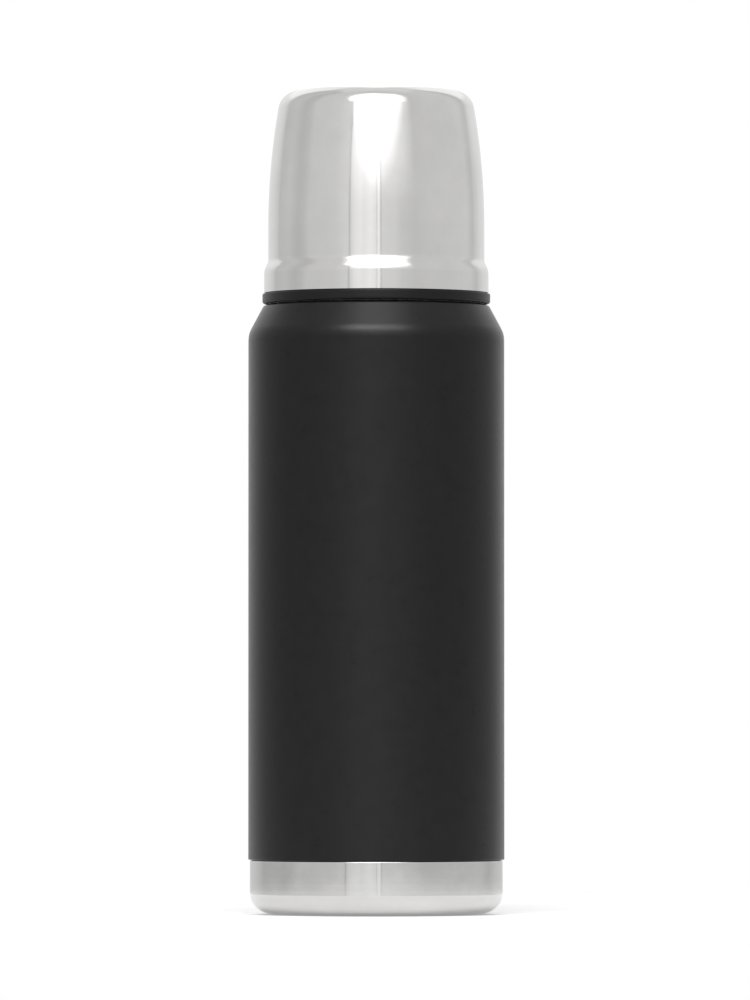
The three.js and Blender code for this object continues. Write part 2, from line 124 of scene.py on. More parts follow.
SHOULDER_LOW = 190.4  # where the straight wall and the shoulder cone would meet
SHOULDER_TOP = 199.7
SHOULDER_TOP_R = 37
MOUTH_R = 28  # threaded bore
THROAT_R = 24.5  # bore under the stopper's seat
SEAT_Z = 201
NECK_R = MOUTH_R + 4.6
NECK_TOP = 212.6  # where the neck starts to close in to the mouth's lip
NECK_LIP_R = MOUTH_R + 2.8
CUP_R = 35.65  # cup above its step
NOSE_R = 23.6
PLUG_LOW = 204.6
FLOW_R = 12.4  # bore of the flow tube
WELL_R = BUTTON_R + 0.4
STEM_R = 2
STEM_BORE_R = STEM_R + GAP
GLAND_R = STEM_R + 2.4  # of the parts that guide and seal the stem
LIP_OUT = 1.8  # how far the pouring lip stands out from the grip
GRIP_WALL_R = GRIP_R - LIP_OUT

CUP_THREAD = {"pitch": 4, "turns": 1, "height": 1, "foot": 2.4, "tip": 0.7}
CUP_THREAD_LOW = SHOULDER_TOP + 4.6
STOPPER_THREAD = {"pitch": 5, "turns": 1.25, "height": 0.7, "foot": 2.4, "tip": 0.8}
STOPPER_THREAD_LOW = SEAT_Z + 8.5
CREST_GAP = 0.5  # between the crests of two mating threads
THREAD_ROOM = 2  # above and below a thread's middle line
COLLAR_BORE_R = NECK_R + 2 * CUP_THREAD["height"] + CREST_GAP
PLUG_R = MOUTH_R - 2 * STOPPER_THREAD["height"] - CREST_GAP

FOAM_COVER_BORE_R = FLOW_R + PLASTIC + GAP
HOUSING_SEAL_BORE_R = 26.7
GASKET_BORE_R = NOSE_R + GAP + 0.1
VALVE_SEAL_BORE_R = 6
WASHER_BORE_R = NECK_R + CUP_THREAD["height"] + 0.35

ROUND = 192  # segments round a wide piece
NARROW = 96
FLUTED = 360
ARC_STEP = math.radians(9)
THREAD_STEP = 0.2  # between the points that a thread shapes
LONG_SIDE = 5  # from which a side is eased
EASE = 0.15


# ------------------------------------------------------------------ outlines
def rounded(corners):
    """An outline from (radius, height[, fillet]) corners. A fillet is an arc between its two sides."""
    outline = []
    for i, (r, z, *fillet) in enumerate(corners):
        corner = Vector((r, z))
        if not fillet:
            outline.append(corner)
            continue
        back = (Vector(corners[i - 1][:2]) - corner).normalized()
        ahead = (Vector(corners[(i + 1) % len(corners)][:2]) - corner).normalized()
        half = back.angle(ahead) / 2
        middle = corner + (back + ahead).normalized() * fillet[0] / math.sin(half)
        start = corner + back * fillet[0] / math.tan(half) - middle
        end = corner + ahead * fillet[0] / math.tan(half) - middle
        turn = math.atan2(start.x * end.y - start.y * end.x, start.dot(end))
        steps = max(2, round(abs(turn) / ARC_STEP))
        for k in range(steps + 1):
            c, s = math.cos(turn * k / steps), math.sin(turn * k / steps)
            outline.append(middle + Vector((start.x * c - start.y * s, start.x * s + start.y * c)))
    return outline


def quarter_ellipse(centre_r, centre_z, wide, high, steps=16):
    """From its widest point down to its lowest."""
    angles = [math.pi / 2 * k / steps for k in range(steps + 1)]
    return [Vector((centre_r + wide * math.cos(a), centre_z - high * math.sin(a))) for a in angles]


def eased(outline):
    """The outline with a point just inside each end of its long sides, so that they are shaded flat."""
    more = []
    for a, b in zip(outline, outline[1:] + outline[:1]):
        more.append(a)
        if (b - a).length > LONG_SIDE:
            inset = (b - a).normalized() * EASE
            more += [a + inset, b - inset]
    return more


def sheet(face, wall=SHEET):
    """The closed outline of a pressed sheet: its face, and the same face set back to its left."""
    sides = [Vector((a.y - b.y, b.x - a.x)).normalized() for a, b in zip(face, face[1:])]
    back = []
    for i, p in enumerate(face):
        before = sides[max(i - 1, 0)]
        after = sides[min(i, len(sides) - 1)]
        mean = (before + after).normalized()
        back.append(p + mean * wall / mean.dot(before))
    return face + back[::-1]


def closer(outline, low, high):
    """The closed outline, with points THREAD_STEP apart where it lies between two heights."""
    dense = []
    for a, b in zip(outline, outline[1:] + outline[:1]):
        dense.append(a)
        if min(a.y, b.y) < high and max(a.y, b.y) > low:
            steps = math.ceil((b - a).length / THREAD_STEP)
            dense += [a.lerp(b, k / steps) for k in range(1, steps)]
    return dense


def ring_outline(inner_r, outer_r, low, high, fillet):
    """A soft ring's section."""
    return rounded([
        (inner_r, low, fillet),
        (outer_r, low, fillet),
        (outer_r, high, fillet),
        (inner_r, high, fillet),
    ])


def smooth_step(share):
    share = min(max(share, 0), 1)
    return share * share * (3 - 2 * share)


def thread(spec, wall_r, low, outwards):
    """A shaping function that raises a screw thread on the wall of radius wall_r."""
    way = 1 if outwards else -1
    slope = (spec["foot"] - spec["tip"]) / 2

    def shaped(r, z, angle):
        if abs(r - wall_r) > 0.01:
            return r
        proud = 0
        turn = angle / TAU
        while turn < spec["turns"]:
            off = abs(z - low - spec["pitch"] * turn)
            fade = min(1, 8 * turn, 8 * (spec["turns"] - turn))
            proud = max(proud, fade * smooth_step((spec["foot"] / 2 - off) / slope))
            turn += 1
        return r + way * spec["height"] * proud

    return shaped


# ------------------------------------------------------------------ meshes
def smoothed(mesh, sharp=50):
    """Shades a mesh smooth, apart from edges sharper than so many degrees."""
    mesh.shade_smooth()
    mesh.set_sharp_from_angle(angle=math.radians(sharp))


def finished(name, bm):
    """A new object of the faces in bm, all facing outwards."""
    bmesh.ops.recalc_face_normals(bm, faces=bm.faces)
    mesh = bpy.data.meshes.new(name)
    bm.to_mesh(mesh)
    bm.free()
    smoothed(mesh)
    piece = bpy.data.objects.new(name, mesh)
    bpy.context.scene.collection.objects.link(piece)
    return piece


def turned(name, outline, segments=ROUND, shape=None, x=0):
    """A closed outline turned about a vertical axis at x. Its points on the axis are single vertices.

    shape gives a point's radius from its radius, its height and its angle, which is 0 at -Y.
    """
    bm = bmesh.new()
    rings = []
    for p in eased(outline):
        ring = []
        for k in range(segments if p.x > 1e-6 else 1):
            angle = TAU * k / segments
            r = shape(p.x, p.y, angle) if shape else p.x
            ring.append(bm.verts.new(Vector((x + r * math.sin(angle), -r * math.cos(angle), p.y)) * MM))
        rings.append(ring)
    for a, b in zip(rings, rings[1:] + rings[:1]):
        if len(a) == 1 and len(b) == 1:
            continue
        for k in range(segments):
            j = (k + 1) % segments
            corners = [a[k % len(a)], a[j % len(a)], b[j % len(b)], b[k % len(b)]]
            bm.faces.new(list(dict.fromkeys(corners)))
    return finished(name, bm)


def threaded(name, outline, spec, wall_r, low, outwards):
    """A turned piece with a screw thread on its wall of radius wall_r."""
    high = low + spec["pitch"] * spec["turns"]
    dense = closer(outline, low - THREAD_ROOM, high + THREAD_ROOM)
    return turned(name, dense, shape=thread(spec, wall_r, low, outwards))


def swept(name, path, section):
    """A closed section carried along path, whose stops are (centre, across, up) in millimetres."""
    bm = bmesh.new()
    rings = []
    for centre, across, up in path:
        rings.append([bm.verts.new((centre + across * u + up * v) * MM) for u, v in section])
    count = len(section)
    for a, b in zip(rings, rings[1:]):
        for k in range(count):
            bm.faces.new([a[k], a[(k + 1) % count], b[(k + 1) % count], b[k]])
    bm.faces.new(rings[0])
    bm.faces.new(rings[-1][::-1])
    return finished(name, bm)


def block(name, low, high, bevel):
    """A box between two corners in millimetres, with rounded edges."""
    bm = bmesh.new()
    bmesh.ops.create_cube(bm, size=1)
    for v in bm.verts:
        v.co = Vector([(a + b) / 2 + c * (b - a) for a, b, c in zip(low, high, v.co)]) * MM
    bmesh.ops.bevel(bm, geom=bm.edges, offset=bevel * MM, segments=3, affect="EDGES", profile=0.5)
    return finished(name, bm)


def combined(piece, operation, tools):
    """Joins the tools to piece, or cuts them from it, and deletes them."""
    for tool in tools:
        step = piece.modifiers.new("combine", "BOOLEAN")
        step.object = tool
        step.operation = operation
        step.solver = "EXACT"
    graph = bpy.context.evaluated_depsgraph_get()
    mesh = bpy.data.meshes.new_from_object(piece.evaluated_get(graph))
    piece.modifiers.clear()
    piece.data = mesh
    smoothed(mesh)
    for tool in tools:
        bpy.data.objects.remove(tool)
    return piece


# ------------------------------------------------------------------ materials
class Nodes:
    """A node tree, with short ways to add what the materials and the room are made of."""

    def __init__(self, tree):
        self.tree = tree

    def add(self, kind, **settings):
        node = self.tree.nodes.new(kind)
        for key, value in settings.items():
            setattr(node, key, value)
        return node

    def link(self, out, into):
        self.tree.links.new(out, into)

    def math(self, operation, *values):
        node = self.add("ShaderNodeMath", operation=operation)
        for socket, value in zip(node.inputs, values):
            if isinstance(value, (int, float)):
                socket.default_value = value
            else:
                self.link(value, socket)
        return node.outputs[0]

    def mean(self, a, b):
        return self.math("MULTIPLY", self.math("ADD", a, b), 0.5)

    def split(self, vector):
        node = self.add("ShaderNodeSeparateXYZ")
        self.link(vector, node.inputs[0])
        return node.outputs

    def ranged(self, value, low, high, from_low=0.3, from_high=0.7):
        node = self.add("ShaderNodeMapRange")
        self.link(value, node.inputs["Value"])
        for socket, number in zip(list(node.inputs)[1:5], (from_low, from_high, low, high)):
            socket.default_value = number
        return node.outputs["Result"]

    def ramp(self, value, stops):
        """A colour ramp through (position, colour) stops."""
        node = self.add("ShaderNodeValToRGB")
        elements = node.color_ramp.elements
        while len(elements) < len(stops):
            elements.new(1)
        for element, (position, colour) in zip(elements, stops):
            element.position = position
            element.color = (*colour, 1)
        self.link(value, node.inputs["Fac"])
        return node.outputs["Color"]


class Look(Nodes):
    """A material with a Principled shader, worked out in the object's own coordinates."""

    def __init__(self, name, **sockets):
        self.material = bpy.data.materials.new(name)
        self.material.use_nodes = True
        super().__init__(self.material.node_tree)
        self.shader = self.tree.nodes["Principled BSDF"]
        self.place = self.add("ShaderNodeTexCoord").outputs["Object"]
        for socket, value in sockets.items():
            self.shader.inputs[socket.replace("_", " ")].default_value = value

    def noise(self, size, detail=2, roughness=0.5, stretch=(1, 1, 1), place=None, distortion=0):
        """A noise from 0 to 1, its features about size millimetres across, times stretch."""
        mapping = self.add("ShaderNodeMapping")
        mapping.inputs["Scale"].default_value = [1 / (size * MM * s) for s in stretch]
        self.link(place or self.place, mapping.inputs["Vector"])
        node = self.add("ShaderNodeTexNoise")
        for socket, value in (("Scale", 1), ("Detail", detail), ("Roughness", roughness)):
            node.inputs[socket].default_value = value
        node.inputs["Distortion"].default_value = distortion
        self.link(mapping.outputs[0], node.inputs["Vector"])
        return node.outputs["Fac"]

    def turning(self):
        """Coordinates of radius and height alone, in which a noise makes lines round the axis."""
        x, y, z = self.split(self.place)
        joined = self.add("ShaderNodeCombineXYZ")
        squares = self.math("ADD", self.math("MULTIPLY", x, x), self.math("MULTIPLY", y, y))
        self.link(self.math("SQRT", squares), joined.inputs[0])
        self.link(z, joined.inputs[2])
        return joined.outputs[0]

    def colours(self, value, low, high, from_low=0.3, from_high=0.7):
        colour = self.ramp(value, [(from_low, low), (from_high, high)])
        self.link(colour, self.shader.inputs["Base Color"])

    def roughness(self, value, low, high):
        self.link(self.ranged(value, low, high), self.shader.inputs["Roughness"])

    def bump(self, *heights):
        """Surface relief, from (value, depth in millimetres) pairs."""
        normal = None
        for value, depth in heights:
            node = self.add("ShaderNodeBump")
            node.inputs["Strength"].default_value = 1
            node.inputs["Distance"].default_value = depth * MM
            self.link(value, node.inputs["Height"])
            if normal:
                self.link(normal, node.inputs["Normal"])
            normal = node.outputs["Normal"]
        self.link(normal, self.shader.inputs["Normal"])

    def brushed(self, amount):
        """Stretches highlights across marks that run round the axis."""
        tangent = self.add("ShaderNodeTangent", direction_type="RADIAL", axis="Z")
        self.shader.inputs["Anisotropic"].default_value = amount
        self.shader.inputs["Anisotropic Rotation"].default_value = 0.25
        self.link(tangent.outputs[0], self.shader.inputs["Tangent"])


def polished_steel():
    look = Look("polished_steel", Metallic=1)
    marks = look.noise(0.15, 3, 0.6, place=look.turning())
    haze = look.noise(14, 4, 0.6)
    ripple = look.noise(3.5, 2, stretch=(1, 1, 14))
    look.colours(haze, (0.605, 0.6, 0.595), (0.65, 0.645, 0.64))
    look.roughness(look.mean(marks, haze), 0.045, 0.11)
    look.bump((ripple, 0.01), (marks, 0.0005))
    look.brushed(0.5)
    return look.material


def drawn_steel():
    look = Look("drawn_steel", Metallic=1)
    marks = look.noise(0.25, 4, 0.6, place=look.turning())
    haze = look.noise(15, 2)
    look.colours(haze, (0.47, 0.468, 0.46), (0.56, 0.556, 0.545))
    look.roughness(marks, 0.26, 0.4)
    look.bump((marks, 0.002))
    look.brushed(0.6)
    return look.material


def black_coat():
    """Powder coating: a fine orange peel with a finer grain on it."""
    look = Look("black_coat", Specular_IOR_Level=0.13, Coat_Weight=0.17, Coat_Roughness=0.6)
    peel = look.noise(0.7, 2, 0.5)
    grain = look.noise(0.15, 2, 0.6)
    cloud = look.noise(5, 4, 0.6)
    look.colours(cloud, (0.0024, 0.0024, 0.0025), (0.0036, 0.0036, 0.0037))
    look.roughness(look.mean(cloud, grain), 0.26, 0.34)
    look.bump((peel, 0.03), (grain, 0.002))
    return look.material


def moulded(name, low, high):
    """Hard plastic with the faint grain of its mould."""
    look = Look(name, Specular_IOR_Level=0.18)
    grain = look.noise(0.3, 3, 0.6)
    look.colours(look.noise(12, 2), low, high)
    look.roughness(grain, 0.32, 0.42)
    look.bump((grain, 0.004))
    return look.material


def silicone():
    look = Look("silicone", Specular_IOR_Level=0.4)
    grain = look.noise(0.4, 3)
    look.colours(look.noise(6, 2), (0.44, 0.45, 0.46), (0.52, 0.53, 0.54))
    look.roughness(grain, 0.5, 0.62)
    look.bump((grain, 0.004))
    return look.material


def spring_steel():
    look = Look("spring_steel", Metallic=1)
    marks = look.noise(0.15, 3, 0.6)
    look.colours(look.noise(2, 2), (0.36, 0.355, 0.345), (0.48, 0.475, 0.46))
    look.roughness(marks, 0.2, 0.36)
    look.bump((marks, 0.002))
    return look.material


def copper_foil():
    look = Look("copper_foil", Metallic=1)
    crease = look.noise(5, 4, 0.6, distortion=0.8)
    look.colours(look.noise(12, 2), (0.68, 0.30, 0.16), (0.78, 0.39, 0.22))
    look.roughness(crease, 0.18, 0.34)
    look.bump((crease, 0.12))
    return look.material


def foam():
    look = Look("foam", Roughness=0.95)
    cells = look.add("ShaderNodeTexVoronoi")
    cells.inputs["Scale"].default_value = 1 / (0.8 * MM)
    look.link(look.place, cells.inputs["Vector"])
    look.colours(cells.outputs["Distance"], (0.82, 0.77, 0.61), (0.66, 0.6, 0.44), 0.1, 0.8)
    look.bump((cells.outputs["Distance"], 0.25))
    return look.material


def getter_alloy():
    look = Look("getter_alloy", Metallic=0.6)
    grit = look.noise(0.2, 3, 0.7)
    look.colours(grit, (0.06, 0.058, 0.054), (0.14, 0.135, 0.128))
    look.roughness(grit, 0.6, 0.85)
    look.bump((grit, 0.03))
    return look.material


def seal_glass():
    look = Look("seal_glass", Coat_Weight=0.4)
    flow = look.noise(1.5, 3, distortion=1.2)
    look.colours(flow, (0.02, 0.055, 0.04), (0.04, 0.09, 0.065))
    look.roughness(flow, 0.08, 0.18)
    look.bump((flow, 0.03))
    return look.material


LOOKS = {
    "polished_steel": polished_steel(),
    "drawn_steel": drawn_steel(),
    "black_coat": black_coat(),
    "black_plastic": moulded("black_plastic", (0.0036, 0.0036, 0.0037), (0.0052, 0.0052, 0.0053)),
    "grey_plastic": moulded("grey_plastic", (0.06, 0.062, 0.065), (0.08, 0.083, 0.087)),
    "silicone": silicone(),
    "spring_steel": spring_steel(),
    "copper_foil": copper_foil(),
    "foam": foam(),
    "getter_alloy": getter_alloy(),
    "seal_glass": seal_glass(),
}
SLOTS = {part["node"]: part["material_slot"] for part in frame["record"]["subparts"]}
BEHAVIOUR = frame["record"]["behaviour"]
BODIES = {node: body for body, nodes in BEHAVIOUR["bodies"].items() for node in nodes}


def stands_for(piece, node):
    """Gives a new piece the finish and the body of the CAD node that it replaces."""
    piece.data.materials.clear()
    piece.data.materials.append(LOOKS[SLOTS[node]])
    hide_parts(node)
    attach(piece, BODIES[node])
    return piece


# ------------------------------------------------------------------ the flask
def outer_shell():
    """The coated wall. Its neck, above the shoulder, and its end inside the base cup are bare steel."""
    end_r, end_z = BASE_R - SHEET - GAP, 8
    face = rounded([
        (end_r, end_z),
        (end_r, BAND_TOP, 0.15),
        (BODY_R, BAND_TOP, 0.3),
        (BODY_R, SHOULDER_LOW, 8),
        (SHOULDER_TOP_R, SHOULDER_TOP, 0.8),
        (NECK_R, SHOULDER_TOP, 0.9),
        (NECK_R, NECK_TOP),
        (NECK_LIP_R, NECK_TOP + 3.4),
        (NECK_LIP_R, MOUTH_TOP - SHEET - GAP),
    ])
    piece = threaded("outer_shell", sheet(face), CUP_THREAD, NECK_R, CUP_THREAD_LOW, True)
    stands_for(piece, "outer_shell")
    piece.data.materials.append(LOOKS["drawn_steel"])
    coat_edge_r, coat_end_z = SHOULDER_TOP_R - 1.2, BAND_TOP - 3
    for polygon in piece.data.polygons:
        r = math.hypot(polygon.center.x, polygon.center.y) / MM
        z = polygon.center.z / MM
        on_neck = r < coat_edge_r and z > SHOULDER_TOP - 2
        polygon.material_index = int(on_neck or z < coat_end_z)


def base_cup():
    """The polished cover pressed over the shell's end. It stands on a flat ring round a raised panel."""
    rim_z = BAND_TOP - GAP
    corner_wide, corner_high = 9, 6.56
    foot_r, panel_z = 30, 2.5
    face = [
        Vector((BASE_R - 0.1, rim_z)),
        Vector((BASE_R - 0.03, rim_z - 0.03)),
        Vector((BASE_R, rim_z - 0.1)),
        *quarter_ellipse(BASE_R - corner_wide, corner_high, corner_wide, corner_high),
        *rounded([
            (BASE_R - corner_wide - 1, 0), (foot_r, 0, 0.8), (foot_r - 1.4, panel_z, 0.8), (0, panel_z),
        ])[1:],
    ]
    stands_for(turned("base_cup", sheet(face[::-1])), "base_cup")


def outer_bottom():
    """The closing disc of the vacuum space, with a pocket over its pump-out hole."""
    rim_r = BASE_R - 2 * SHEET - 2 * GAP
    hole_r, pocket_r, pocket_z = 1.2, 7, DISC_LOW + 2.2
    face = rounded([
        (hole_r, pocket_z), (pocket_r, pocket_z, 1), (pocket_r + 2, DISC_LOW, 1), (rim_r, DISC_LOW, 2),
        (rim_r, top("outer_bottom")),
    ])
    stands_for(turned("outer_bottom", sheet(face)), "outer_bottom")


def vacuum_seal():
    bead_r, low, high = radius("vacuum_seal"), bottom("vacuum_seal"), top("vacuum_seal")
    bead = rounded([(0, low), (bead_r - 0.8, low, 0.6), (bead_r, high, 0.4), (0, high)])
    stands_for(turned("vacuum_seal", bead, NARROW), "vacuum_seal")


def getter():
    """The gas-absorbing pill, pressed with a shallow groove in its top."""
    low, high = bottom("getter"), top("getter")
    x = (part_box("getter")[0].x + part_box("getter")[1].x) / 2 / MM
    pill_r = radius("getter") - x
    groove_in, groove_out, groove_z = 1, 3, high - 0.3
    pill = rounded([
        (0, low), (pill_r, low, 0.4), (pill_r, high, 0.4), (groove_out, high),
        (groove_out - 0.4, groove_z), (groove_in + 0.4, groove_z), (groove_in, high), (0, high),
    ])
    stands_for(turned("getter", pill, NARROW, x=x), "getter")


def getter_clip():
    """The bent strap over the pill."""
    low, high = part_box("getter_clip")
    x, z = (low.x + high.x) / 2 / MM, low.z / MM
    foot, width = (high.x - low.x) / 2 / MM, (high.y - low.y) / MM
    thick, leg = 0.4, 5.4
    rise = (high.z - low.z) / MM - thick
    line = rounded([
        (-foot, 0), (-leg, 0, 0.4), (-leg, rise, 0.4), (leg, rise, 0.4), (leg, 0, 0.4), (foot, 0),
    ])
    path = []
    for i, p in enumerate(line):
        along = line[min(i + 1, len(line) - 1)] - line[max(i - 1, 0)]
        up = Vector((-along.y, 0, along.x)).normalized()
        path.append((Vector((x + p.x, 0, z + thick / 2 + p.y)), Vector((0, 1, 0)), up))
    half_w, half_t = width / 2, thick / 2
    section = [(-half_w, -half_t), (half_w, -half_t), (half_w, half_t), (-half_w, half_t)]
    stands_for(swept("getter_clip", path, section), "getter_clip")


def heat_shield():
    """The copper foil wrapped round the vessel, open at its seam."""
    low = bottom("heat_shield")
    tall = top("heat_shield") - low
    thick, seam = 0.2, 0.05
    path = []
    for k in range(ROUND + 1):
        angle = seam + (TAU - 2 * seam) * k / ROUND
        out = Vector((math.cos(angle), math.sin(angle), 0))
        path.append((Vector((0, 0, low)), out, Vector((0, 0, 1))))
    section = [(SHIELD_R - thick, 0), (SHIELD_R, 0), (SHIELD_R, tall), (SHIELD_R - thick, tall)]
    stands_for(swept("heat_shield", path, section), "heat_shield")


def inner_liner():
    """The vessel's wall, seat, threaded mouth and rolled lip."""
    lip_r = MOUTH_R + 3.7
    taper_low, taper_top = 184, 195.5
    face = rounded([
        (LINER_R, LINER_LOW),
        (LINER_R, taper_low, 10),
        (THROAT_R, taper_top, 5),
        (THROAT_R, SEAT_Z, 1),
        (MOUTH_R, SEAT_Z, 1),
        (MOUTH_R, MOUTH_TOP, 1.4),
        (lip_r, MOUTH_TOP, 0.8),
        (lip_r, MOUTH_TOP - 1.8),
    ])
    wall = sheet(face, -SHEET)
    piece = threaded("inner_liner", wall, STOPPER_THREAD, MOUTH_R, STOPPER_THREAD_LOW, False)
    stands_for(piece, "inner_liner")


def liner_bottom():
    """The dished cap welded into the vessel's foot, raised in its middle."""
    rim_r = LINER_R - GAP
    low, low_r = 12.6, 24
    dome_z, dome_r = 15, 14
    face = rounded([
        (0, dome_z), (dome_r, dome_z, 5), (low_r, low, 5), (rim_r, low, 2.5), (rim_r, top("liner_bottom")),
    ])
    stands_for(turned("liner_bottom", sheet(face)), "liner_bottom")


# ------------------------------------------------------------------ the stopper
def stopper_housing():
    """The lower moulding: threaded plug, nose, flow tube, and a three-armed guide for the stem."""
    tube_r, tube_top = FLOW_R + PLASTIC, FLANGE_LOW + 1.3
    edge = 0.3
    outline = rounded([
        (FLOW_R, NOSE_LOW, edge),
        (NOSE_R, NOSE_LOW, 0.8),
        (NOSE_R, PLUG_LOW, edge),
        (PLUG_R, PLUG_LOW, 0.4),
        (PLUG_R, FLANGE_LOW, edge),
        (PLUG_FLANGE_R, FLANGE_LOW, edge),
        (PLUG_FLANGE_R, FLANGE_TOP, edge),
        (PLUG_R - PLASTIC, FLANGE_TOP, edge),
        (PLUG_R - PLASTIC, PLUG_LOW + PLASTIC, 0.6),
        (NOSE_R - PLASTIC, PLUG_LOW + PLASTIC, 0.6),
        (NOSE_R - PLASTIC, NOSE_FLOOR, 0.6),
        (tube_r, NOSE_FLOOR, 0.6),
        (tube_r, tube_top, edge),
        (FLOW_R, tube_top, edge),
    ])
    low = STOPPER_THREAD_LOW + STOPPER_THREAD["pitch"] / 2
    piece = threaded("stopper_housing", outline, STOPPER_THREAD, PLUG_R, low, True)
    guide_low, guide_high, arms = 196, 203, 3
    tools = [turned("boss", ring_outline(STEM_BORE_R, GLAND_R, guide_low, guide_high, edge), NARROW)]
    for k in range(arms):
        arm_low = (-PLASTIC / 2, GLAND_R - 1, guide_low + 1)
        arm_high = (PLASTIC / 2, FLOW_R + 1, guide_high - 1)
        arm = block("arm", arm_low, arm_high, edge)
        arm.rotation_euler.z = TAU * k / arms
        tools.append(arm)
    stands_for(combined(piece, "UNION", tools), "stopper_housing")


def insulation_foam():
    clearance = PLASTIC + GAP
    inner_r, nose_r, plug_r = FLOW_R + clearance, NOSE_R - clearance, PLUG_R - clearance
    low, step = NOSE_FLOOR + GAP, PLUG_LOW + clearance
    outline = rounded([
        (inner_r, low, 0.5), (nose_r, low, 0.8), (nose_r, step, 0.5), (plug_r, step, 0.8),
        (plug_r, FOAM_TOP, 0.4), (inner_r, FOAM_TOP, 0.4),
    ])
    stands_for(turned("insulation_foam", outline, NARROW), "insulation_foam")


def ring(node, inner_r, fillet, segments=ROUND):
    """A plain ring with rounded edges, as big as its CAD node."""
    outline = ring_outline(inner_r, radius(node), bottom(node), top(node), fillet)
    stands_for(turned(node, outline, segments), node)


def grip_shape(flutes=18, flute_r=3, depth=0.8, lip_half=math.radians(13)):
    """The upper moulding's shaping function: the grip's flutes, and the pouring lip at the front."""
    flute_low = FLANGE_TOP + 6.4
    lip_low, lip_tall = FLANGE_TOP + 0.7, 2.35
    lip_end = 0.09  # radians over which it runs out at each side

    def flute(r, z, angle):
        pitch = TAU / flutes
        off = (angle % pitch) - pitch / 2
        centre = GRIP_WALL_R + flute_r - depth
        reach = flute_r ** 2 - (centre * math.sin(off)) ** 2
        if reach <= 0:
            return r
        hollow = centre * math.cos(off) - math.sqrt(reach)
        run_in = 1 - smooth_step((z - flute_low) / 1.5)
        return min(r, hollow + depth * run_in)

    def lip(r, z, angle):
        off = min(angle, TAU - angle)
        rise = smooth_step((z - lip_low) / LIP_OUT) if z < lip_low + lip_tall else 0
        return r + LIP_OUT * rise * smooth_step((lip_half + lip_end - off) / lip_end)

    def shaped(r, z, angle):
        if r < GRIP_WALL_R - 4:
            return r
        return flute(r, z, angle) if z > flute_low else lip(r, z, angle)

    return shaped


def stopper_top():
    """The upper moulding: fluted grip, button well, pouring slot with its lip, and air slot."""
    skirt_r = PLUG_FLANGE_R + GAP
    chamber_r, chamber_low = 26.4, FLANGE_TOP + 1.6
    crown_r, grip_top = 15, CROWN_TOP - 1.2
    shaped_low, shaped_high = FLANGE_LOW + 2, FLANGE_TOP + 8.4
    well_outer_r = WELL_R + PLASTIC
    floor_low, gland_low = WELL_FLOOR - 2.5, WELL_FLOOR - 1.7
    slot_low, slot_high = FLANGE_TOP + 2.1, FLANGE_TOP + 5.7
    slot_half, vent_half = 8, 4
    outline = rounded([
        (skirt_r, FLANGE_LOW + GAP, 0.2),
        (GRIP_WALL_R, FLANGE_LOW + GAP, 0.6),
        (GRIP_WALL_R, grip_top, 2.2),
        (crown_r, CROWN_TOP),
        (WELL_R, CROWN_TOP, 0.6),
        (WELL_R, WELL_FLOOR, 0.3),
        (GLAND_R, WELL_FLOOR, 0.2),
        (GLAND_R, gland_low, 0.2),
        (STEM_BORE_R, gland_low, 0.2),
        (STEM_BORE_R, floor_low, 0.2),
        (well_outer_r, floor_low, 1),
        (well_outer_r, grip_top - 1.2, 0.4),
        (chamber_r, grip_top - 2.4, 2),
        (chamber_r, chamber_low, 0.3),
        (skirt_r, chamber_low, 0.3),
    ])
    piece = turned("stopper_top", closer(outline, shaped_low, shaped_high), FLUTED, grip_shape())
    slot_y = (chamber_r + GRIP_WALL_R) / 2
    slot = block("slot", (-slot_half, -slot_y - 7, slot_low), (slot_half, -slot_y + 5, slot_high), 1)
    vent_low, vent_high = slot_low + 0.2, slot_high - 0.4
    vent = block("vent", (-vent_half, slot_y - 5, vent_low), (vent_half, slot_y + 5, vent_high), 1)
    stands_for(combined(piece, "DIFFERENCE", [slot, vent]), "stopper_top")


def valve_spring(turns=3.5, sides=16, per_turn=48):
    """The coil under the button."""
    wire_r = 0.4
    coil_r = radius("valve_spring") - wire_r
    low, high = SPRING_LOW + wire_r, SPRING_TOP - wire_r
    steps = round(turns * per_turn)
    path = []
    for k in range(steps + 1):
        angle = TAU * k / per_turn
        out = Vector((math.sin(angle), -math.cos(angle), 0))
        centre = out * coil_r + Vector((0, 0, low + (high - low) * k / steps))
        path.append((centre, out, Vector((0, 0, 1))))
    angles = [TAU * k / sides for k in range(sides)]
    section = [(wire_r * math.cos(a), wire_r * math.sin(a)) for a in angles]
    spring = stands_for(swept("valve_spring", path, section), "valve_spring")
    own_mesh(spring)


def push_button():
    """The dished cap with a ring round its middle, hollow underneath, with a socket for the stem."""
    wall = 1.4
    socket_r = STEM_R + wall
    socket_low, socket_top = BUTTON_UNDERSIDE - 2.8, BUTTON_UNDERSIDE + GAP
    ring_in, ring_out = 5.4, 6.6
    outline = rounded([
        (0, BUTTON_TOP - 1.4),
        (ring_in, BUTTON_TOP - 1.1),
        (ring_in + 0.3, BUTTON_TOP - 1.3, 0.2),
        (ring_out - 0.3, BUTTON_TOP - 1.25, 0.2),
        (ring_out, BUTTON_TOP - 0.9, 0.2),
        (BUTTON_R - wall, BUTTON_TOP, 0.6),
        (BUTTON_R, BUTTON_TOP, 0.8),
        (BUTTON_R, BUTTON_LOW, 0.2),
        (BUTTON_R - wall, BUTTON_LOW, 0.2),
        (BUTTON_R - wall, BUTTON_UNDERSIDE, 0.5),
        (socket_r, BUTTON_UNDERSIDE, 0.3),
        (socket_r, socket_low, 0.2),
        (STEM_BORE_R, socket_low, 0.2),
        (STEM_BORE_R, socket_top),
        (0, socket_top),
    ])
    stands_for(turned("push_button", outline, NARROW), "push_button")


